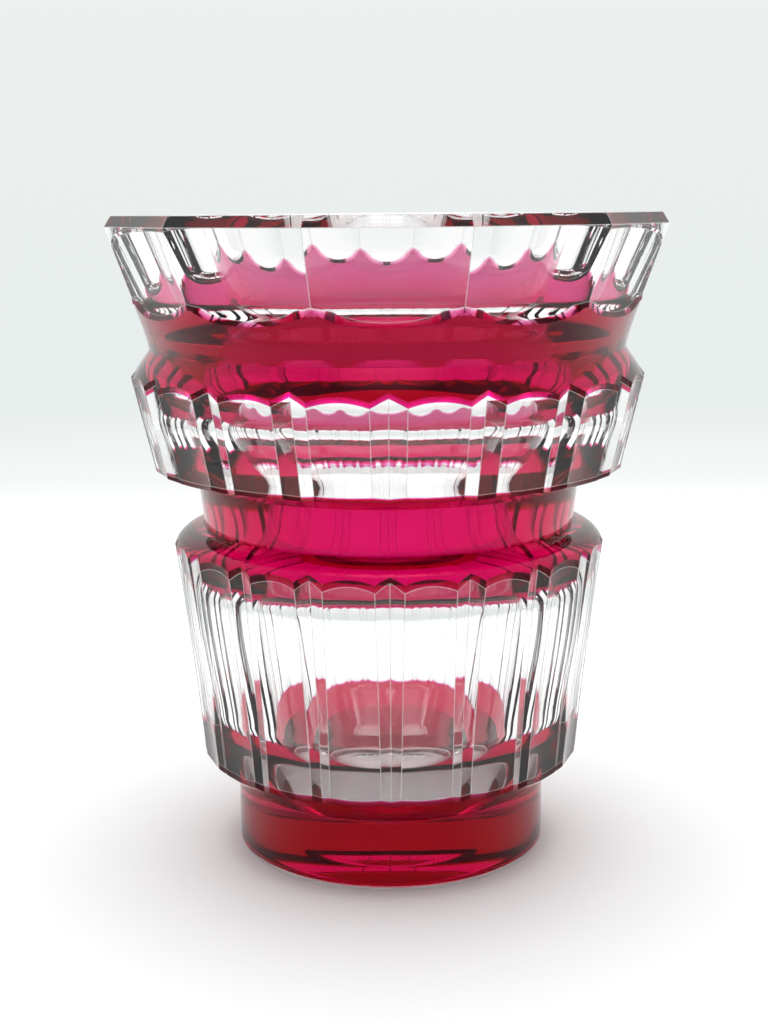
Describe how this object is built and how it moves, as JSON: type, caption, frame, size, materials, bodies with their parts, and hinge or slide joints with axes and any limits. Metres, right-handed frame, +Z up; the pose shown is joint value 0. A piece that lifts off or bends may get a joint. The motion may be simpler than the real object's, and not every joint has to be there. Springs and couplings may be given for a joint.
{
  "type": "cased glass vase",
  "caption": "Heavy flared vase of clear cut crystal cased in ruby: faceted rim, fluted ring and barrel belts cut through to clear, ruby neck, waist and foot",
  "frame": {"origin": "centre of the flat resting ring under the foot, in the ring's plane", "axes": "+Z up along the vase's axis, -Y is the front, through the middle of a rim panel and of a groove on each belt, +X to the right"},
  "size_m": [0.208, 0.208, 0.25],
  "materials": {
    "clear_crystal": "colourless cut lead crystal, wheel cuts brought back to a bright polish",
    "ruby_casing": "thin transparent ruby layer fused over the crystal, bright polish"
  },
  "bodies": {
    "root": {"clear_body": "clear_crystal", "neck_casing": "ruby_casing", "waist_casing": "ruby_casing", "foot_casing": "ruby_casing"}
  },
  "joints": []
}
